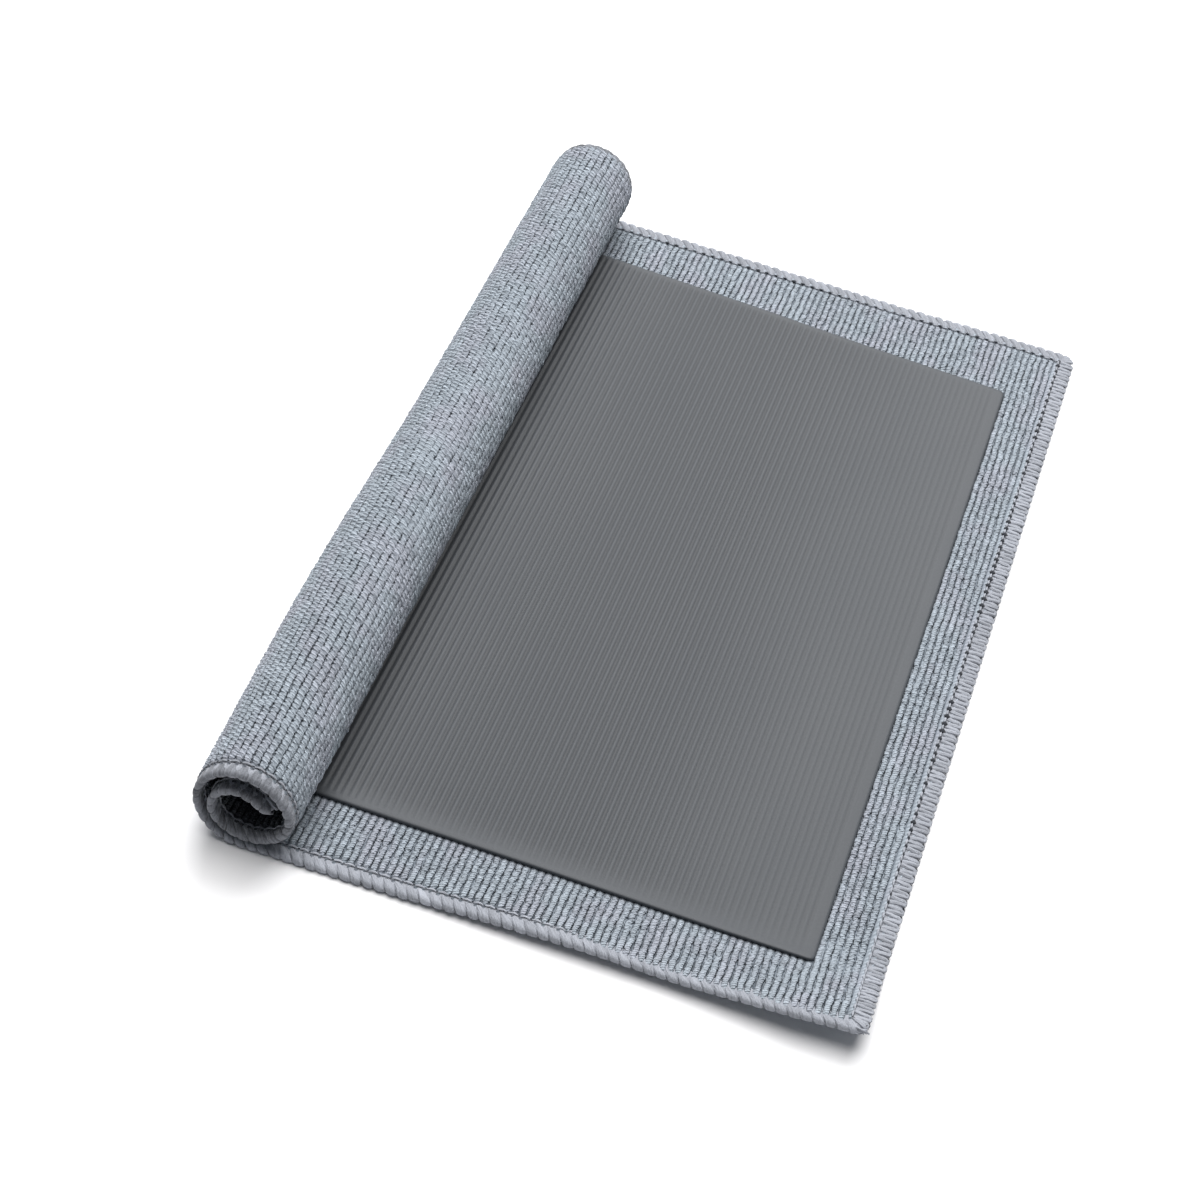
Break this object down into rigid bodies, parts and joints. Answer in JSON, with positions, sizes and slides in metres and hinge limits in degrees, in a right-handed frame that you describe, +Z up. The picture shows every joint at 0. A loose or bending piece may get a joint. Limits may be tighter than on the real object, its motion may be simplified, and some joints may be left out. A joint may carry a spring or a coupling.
{
  "type": "clay towel",
  "caption": "Ribbed microfibre cloth with an overlocked edge and a thin ribbed rubber clay pad on one face, its left side rolled up with the pad inside and the rest lying flat.",
  "frame": {"origin": "on the floor, under the middle of the part's box", "axes": "+Y runs along the roll from the front edge to the back edge, +X points from the roll to the free right-hand edge, +Z is up"},
  "size_m": [0.1848, 0.3032, 0.0297],
  "materials": {
    "knit": "ribbed microfibre knit, soft matt pile",
    "clay_rubber": "satin, finely ribbed",
    "edging_thread": "soft textured thread"
  },
  "bodies": {
    "root": {"cloth": "knit", "clay_pad": "clay_rubber", "overlocked_edge": "edging_thread"}
  },
  "joints": []
}
